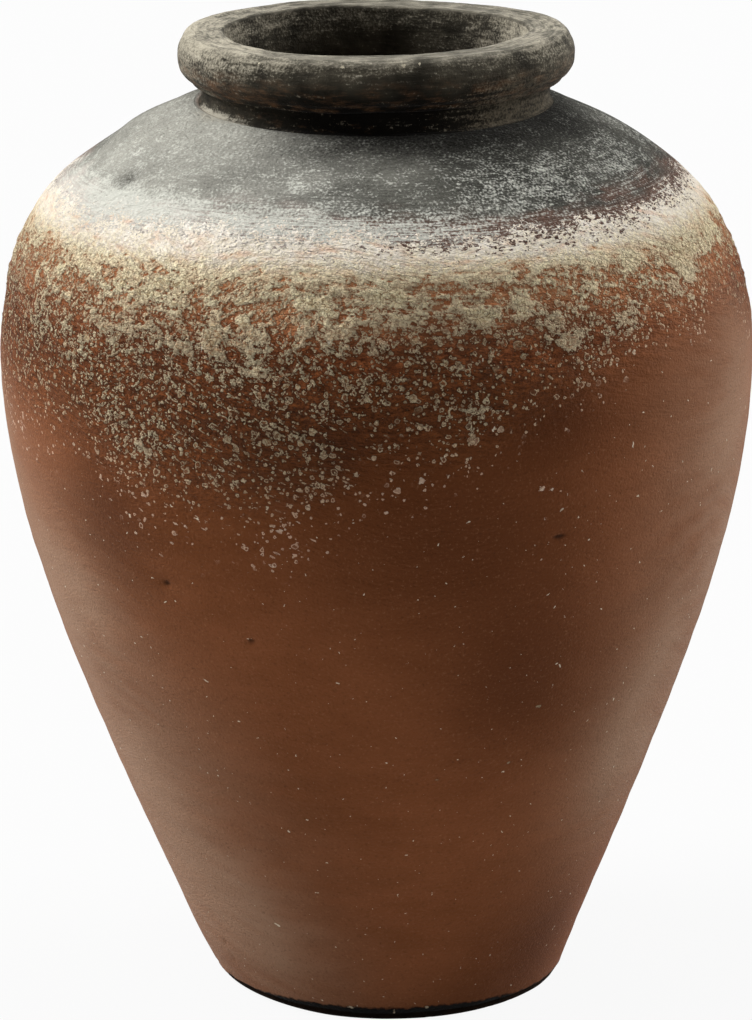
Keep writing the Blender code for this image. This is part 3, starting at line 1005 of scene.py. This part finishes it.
def dark_coat(f, colour, relief, fine):
    """The dark shoulder coat over the slip: a lacy edge, a purple-brown border and dry white brush marks,
    with painted shade in its dents and a painted shadow under the rim.
    """
    dark, veil, border = (f.field(name) for name in ("dark", "veil", "purple"))
    web = f.seams(0.005, f.wobbled(f.pressed(f.unrolled, 1.5), 0.0055, 2.4))
    worm = f.grain(0.004, distortion=1.2)
    coat = f.step(dark + web * 4.5 + worm * 0.7, 0.75, 1.05)
    grey = f.mix(f.step(f.grain(0.045) + fine * 0.7, -1.4, 1.4), (46, 46, 41), (88, 87, 80))
    grey = f.mix(f.step(veil, 0.05, 1.0, 0.0, 0.72), grey, (190, 188, 177))
    purple = f.mix(f.step(fine), (84, 61, 51), (116, 90, 78))
    purple = f.mix(f.step(veil, 0.2, 0.9, 0.0, 0.78), purple, (224, 216, 206))
    patch = f.step(f.grain(0.014, 3.0, f.pressed(f.unrolled, 2.0, 0.7)), -0.6, 0.3)
    lowest = f.step(dark, 2.0, 0.9)
    grey = f.mix(border * f.highest(patch, lowest), grey, purple)

    bristle = f.grain(0.010, 4.0, f.pressed(f.unrolled, 7.0, 0.7), 0.62)
    mottle = f.grain(0.010, 5.0, roughness=0.72)
    scratch = f.grain(0.012, vector=f.pressed(f.unrolled, 13.0, 0.4))
    salt = f.grain(0.0013)
    chalk = 0.36 * bristle + 0.58 * mottle + 0.78 * salt + 0.80 * scratch * border
    chalk = chalk + 0.62 * f.field("bloom") + 0.45 * veil
    bare = f.step(lowest, 0.0, 1.0, 0.88, 0.84)
    coated = f.mix(bare * f.step(chalk, 0.25, 1.65), grey, (218, 218, 207))
    coated = f.mix(f.step(chalk, 0.0, -1.1, 0.0, 0.60), coated, (40, 38, 34))
    # Painted shade in the dents of the shoulder
    hollow_shade = f.field("hollow_shade") * f.step(salt, -1.5, 1.0, 0.95, 0.475)
    coated = f.mix(hollow_shade, coated, (52, 49, 42))
    # Painted shadow of the rim, near black, on the shoulder under the neck
    rim_shadowed = f.field("rim_shadow") * f.step(salt, -1.3, 1.3, 1.0, 0.55)
    coated = f.mix(rim_shadowed, coated, (20, 18, 15))
    scrape = f.step(f.field("scrape") + bristle * 0.35 + salt * 0.2, 0.45, 1.1, 0.0, 0.7)
    coated = f.mix(scrape, coated, (176, 170, 155))
    return f.mix(coat, colour, coated), relief + coat * (0.20 * bristle - 0.12)


def foot_soot_and_shadow(f, colour):
    """Black round the foot, soot and painted contact shadow, chipped to pale clay here and there."""
    foot = f.field("foot")
    colour = f.mix(f.step(foot + f.grain(0.004, 3.0) * 0.45, -0.5, 0.45), colour, (9, 7, 6))
    chip = f.step(foot, -0.6, 0.0) * f.step(f.grain(0.006), 0.80, 1.00)
    return f.mix(chip, colour, (196, 182, 156))


def wall_finish(name, slipped=True, darkened=False, footed=False):
    """The wall's material: clay, then slip and crust, the dark coat, and the black soot and painted contact
    shadow at the foot, where they reach.
    """
    f = Finish(name)
    fine = f.grain(0.0011)
    slip_coat = slip_and_crust if slipped else scattered_slip
    colour, cover, relief = slip_coat(f, clay_colour(f), fine)
    if not darkened:
        # Painted shade in the pits and gouges of the wall
        colour = f.mix(f.step(f.field("hollow_shade"), 0.25, 0.90, 0.0, 0.8), colour, (40, 24, 14))
    speck = f.highest(specks(f, 0.012, 0.0008, 0.60), specks(f, 0.0044, 0.00045, 0.60))
    colour = f.mix(speck * 0.85, colour, (232, 220, 196))
    if darkened:
        colour, relief = dark_coat(f, colour, relief, fine)
    # Soot and painted contact shadow round the foot
    if footed:
        colour = foot_soot_and_shadow(f, colour)
    colour = f.mix(f.field("inside"), colour, raw_clay_colour(f))
    roughness = f.step(cover * 0.6 + fine * 0.2, -0.4, 1.0, 0.62, 0.90)
    return f.finish(colour, roughness, relief, WALL_SHEEN, WALL_SPECULAR)


def rim_finish(name):
    """The smoked rim and neck: a brushed crest, a salty worn edge, rust streaks, and soot low down with
    painted shade under the roll; painted light lies on the lit sides, on the right side of the neck and on
    the right inner wall.
    """
    f = Finish(name)
    veil, soot_and_shade = f.field("veil"), f.field("soot_and_shade")
    fine = f.grain(0.001)
    salt = f.grain(0.0013, roughness=0.7)
    streak = f.grain(0.010, 4.0, f.pressed(f.unrolled, 5.0, 0.5), 0.62)
    run = f.grain(0.011, 5.0, f.pressed(f.unrolled, 2.2, 0.6), 0.68)
    mottle = f.grain(0.015, 3.0)
    colour = f.mix(f.step(mottle + streak * 0.5, -1.2, 1.2), (38, 35, 29), (78, 73, 62))
    brushed = f.mix(f.step(streak + mottle * 0.7, -1.0, 1.2), (78, 75, 66), (152, 146, 131))
    colour = f.mix(f.field("crest") * 0.85, colour, brushed)
    # Less chalk where the soot and painted shade lie
    chalk = 0.55 * salt + 0.30 * mottle + 0.30 * streak + 0.35 * veil - 1.3 * soot_and_shade
    # Paler with dust and painted light on the lit sides, and with paler clay and painted light on the right
    # inner wall
    chalk = chalk + 0.50 * f.field("edge") + 0.70 * f.field("dust_and_light") + 1.65 * f.field("mouth_pale_and_lit")
    colour = f.mix(f.step(chalk, 0.45, 1.9, 0.0, 0.80), colour, (192, 184, 164))
    rust = f.step(run + 0.4 * streak + 0.9 * veil - 0.5 * f.field("neck"), 0.40, 2.10)
    soot = f.mix(rust, (9, 7, 5), (104, 76, 53))
    # The soot is painted paler on the lit right side of the neck
    dry = salt + 0.8 * streak + veil + 1.9 * f.field("lit_flank")
    soot = f.mix(f.step(dry, 1.3, 2.7, 0.0, 0.6), soot, (150, 136, 114))
    browned = f.step(run + streak * 0.5, -0.5, 1.0, 0.0, 0.75)
    colour = f.mix(f.field("low") * browned, colour, (110, 78, 54))
    # Soot, and painted shade under the roll, near black at the front
    colour = f.mix(soot_and_shade * 0.96, colour, soot)
    scrape = f.step(f.field("scrape") + streak * 0.45 + salt * 0.3, 0.25, 1.0, 0.0, 0.85)
    colour = f.mix(scrape, colour, (184, 178, 162))
    colour = f.mix(f.step(f.field("chip") + salt * 0.3, 0.35, 0.6), colour, (206, 196, 172))
    relief = 0.06 * fine + 0.10 * salt + 0.14 * streak + 0.18 * mottle
    return f.finish(colour, f.step(fine, -1.5, 1.5, 0.60, 0.85), relief, RIM_SHEEN, RIM_SPECULAR)


def base_finish(name):
    """The base: black with damp and soot and as painted contact shadow, chipped to pale clay here and there.
    """
    f = Finish(name)
    fine = f.grain(0.0015, 3.0)
    colour = f.mix(f.step(f.grain(0.010, 3.0)), (18, 12, 8), (34, 24, 16))
    colour = f.mix(f.step(f.grain(0.0045), 1.0, 1.5, 0.0, 0.9), colour, (196, 170, 140))
    return f.finish(colour, f.step(fine, -1, 1, 0.75, 0.95), 0.15 * fine, specular=WALL_SPECULAR)


def raw_finish(name):
    """The coils and the floor inside: raw clay with grog."""
    f = Finish(name)
    fine = f.grain(0.0015, 3.0)
    return f.finish(raw_clay_colour(f), f.step(fine, -1, 1, 0.85, 0.97), 0.20 * fine)


# Pieces


def add_object(name, data):
    """A new object in the scene."""
    made = bpy.data.objects.new(name, data)
    bpy.context.scene.collection.objects.link(made)
    return made


def dress(node, finish, outline, columns, relief):
    """Makes the piece that is shown for a CAD node."""
    mesh = turned_mesh(node + "_clay", outline, columns, relief)
    mesh.materials.append(finish)
    piece = add_object(mesh.name, mesh)
    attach(piece, "root")
    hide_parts(node)


def make_walls():
    line = wall_line()
    plans = {
        "lower_wall": (2.0 * MM, 560, "terracotta_body", {"slipped": False, "footed": True}),
        "belly_wall": (1.5 * MM, 700, "slipped_belly", {}),
        "shoulder": (1.45 * MM, 760, "smoked_shoulder", {"darkened": True}),
    }
    for node, (spacing, columns, slot, coats) in plans.items():
        outline = wall_outline(node, line, spacing, 5.0 * MM)
        dress(node, wall_finish(slot + "_finish", **coats), outline, columns, wall_relief)


def make_neck_and_rim():
    def neck_side(run):
        return run[:, 0].max() > NECK_INSIDE and len(run) > 2

    neck = plain_outline("neck_collar", 0.8 * MM, 2.0 * MM, neck_side)
    dress("neck_collar", rim_finish("smoked_neck_finish"), neck, 640, rim_relief)
    rim = plain_outline("rim_roll", 1.0 * MM, 1.0 * MM, lambda run: True)
    dress("rim_roll", rim_finish("smoked_rim_finish"), rim, 720, rim_relief)


def make_inside_coils():
    finish = raw_finish("raw_inside_finish")
    for node in ("floor_fillet_coil", "seam_coil_belly", "seam_coil_shoulder"):
        outline = plain_outline(node, 2.0 * MM, 2.5 * MM, lambda run: len(run) > 3)
        dress(node, finish, outline, 400, coil_relief)


def make_base():
    outline = plain_outline("base_disc", 0.8 * MM, 5.0 * MM, lambda run: run[:, 0].min() > BASE_EDGE)
    dress("base_disc", base_finish("blackened_base_finish"), outline, 560, base_relief)


# Stage


def white_when_seen(owner, kind, settings, plain, background, output):
    """Gives the floor or the world a shader, and plain white for the rays that show a background.

    Those are the rays to the camera, in gloss and through glass.
    """
    owner.use_nodes = True
    tree = owner.node_tree
    tree.nodes.clear()
    graph = Graph(tree)
    shader = graph.node(kind, settings)
    path = tree.nodes.new("ShaderNodeLightPath")
    rays = ("Is Camera Ray", "Is Glossy Ray", "Is Transmission Ray")
    seen = graph.highest(*(Value(graph, path.outputs[ray]) for ray in rays))
    white = graph.node(plain, {"Color": WHITE, "Strength": 1.0})
    shown = graph.node("ShaderNodeMixShader", {0: seen * background, 1: shader, 2: white})
    tree.links.new(shown.socket, tree.nodes.new(output).inputs[0])


def make_floor():
    """A plain pale floor, wide enough to fill the picture."""
    bpy.ops.mesh.primitive_circle_add(
        vertices=FLOOR_SIDES, radius=FLOOR_RADIUS, fill_type="NGON", location=(0, 0, 0)
    )
    floor = bpy.context.object
    floor.name = "studio_floor"
    paint = bpy.data.materials.new("studio_floor")
    settings = {"Color": FLOOR_COLOUR}
    last = ("ShaderNodeEmission", FLOOR_WHITE, "ShaderNodeOutputMaterial")
    white_when_seen(paint, "ShaderNodeBsdfDiffuse", settings, *last)
    floor.data.materials.append(paint)


def make_world():
    """A dim even sky for the object. The camera and reflections see it white."""
    world = bpy.data.worlds.new("studio")
    bpy.context.scene.world = world
    sky = "ShaderNodeBackground"
    settings = {"Color": WHITE, "Strength": SKY_LEVEL}
    white_when_seen(world, sky, settings, sky, 1.0, "ShaderNodeOutputWorld")


def make_lamp(name, azimuth, elevation, level, spread):
    """A broad, even lamp far away. level is the light on a surface that faces it, as a share of white."""
    lamp = bpy.data.lights.new(name, "SUN")
    lamp.energy = level * math.pi
    lamp.angle = math.radians(spread)
    holder = add_object(name, lamp)
    a, e = math.radians(azimuth), math.radians(elevation)
    towards = Vector((math.sin(a) * math.cos(e), -math.cos(a) * math.cos(e), math.sin(e)))
    holder.rotation_euler = towards.to_track_quat("Z", "Y").to_euler()
    holder.location = towards * LAMP_DISTANCE


def make_camera():
    camera = bpy.data.cameras.new("camera")
    camera.sensor_width = SENSOR
    camera.lens = LENS
    holder = add_object("camera", camera)
    holder.location = CAMERA_PLACE
    holder.rotation_euler = (math.pi / 2 - CAMERA_PITCH, 0, 0)
    bpy.context.scene.camera = holder


make_walls()
make_neck_and_rim()
make_inside_coils()
make_base()
make_floor()
make_world()
for lamp in LAMPS:
    make_lamp(*lamp)
make_camera()
bpy.context.scene.view_settings.view_transform = "Standard"
